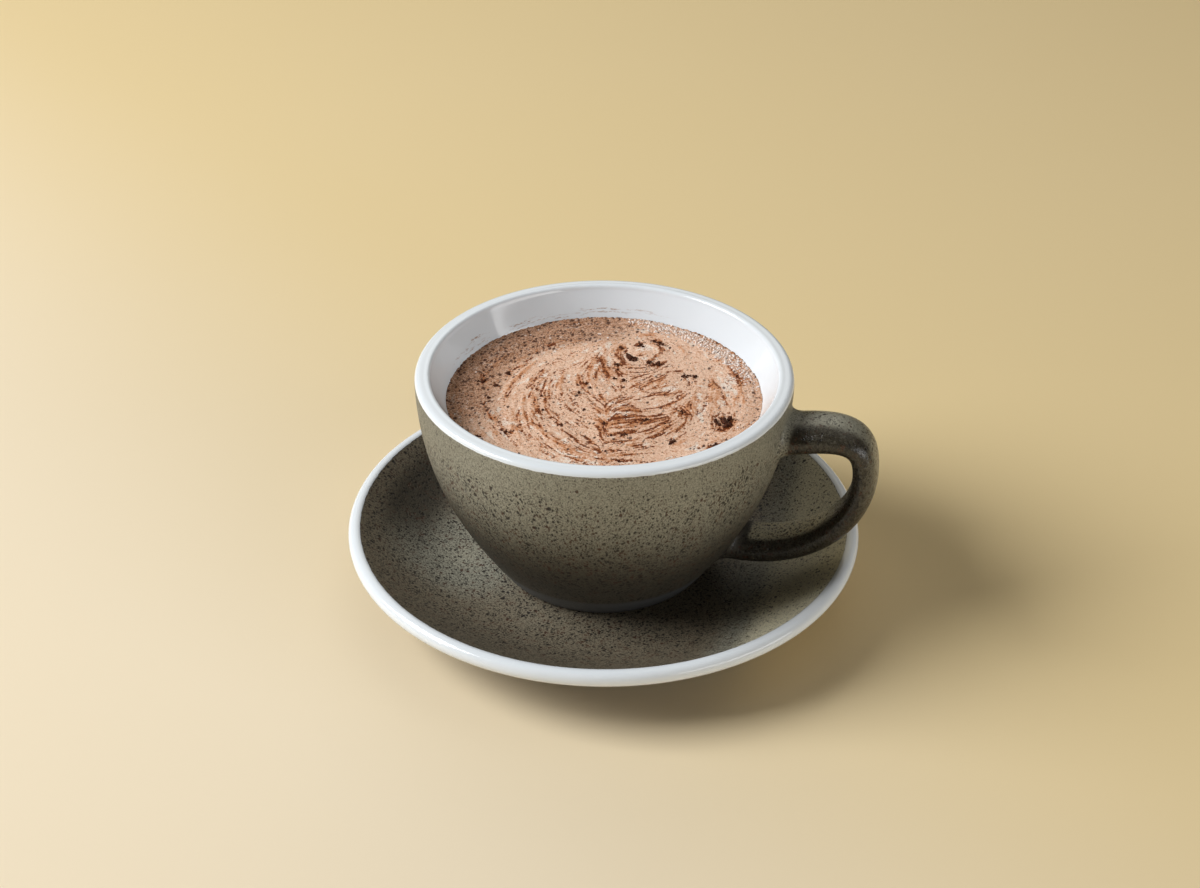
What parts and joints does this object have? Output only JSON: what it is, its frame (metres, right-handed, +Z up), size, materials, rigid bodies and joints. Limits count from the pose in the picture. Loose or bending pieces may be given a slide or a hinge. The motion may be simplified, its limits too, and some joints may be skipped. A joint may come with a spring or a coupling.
{
  "type": "caffe mocha",
  "caption": "Mocha with marbled cocoa foam in a thick stoneware cup with a loop handle, on its matching round saucer.",
  "frame": {"origin": "middle of the footprint, on the plane the saucer's foot ring stands on; the cup's axis is 2.15 mm towards -X from it", "axes": "+Z up along the cup's axis, +X along the handle, +Y to the left of the handle seen from the cup"},
  "size_m": [0.1592, 0.155, 0.0726],
  "materials": {
    "cup": "satin speckled grey-olive glaze outside, glossy white glaze on the lip and inside",
    "saucer": "satin speckled grey-olive glaze with a glossy white lip",
    "drink": "pale cocoa foam with brown streaks, fine bubbles and dark cocoa clumps"
  },
  "bodies": {
    "root": {"cup": "cup", "saucer": "saucer", "drink": "drink"}
  },
  "joints": []
}
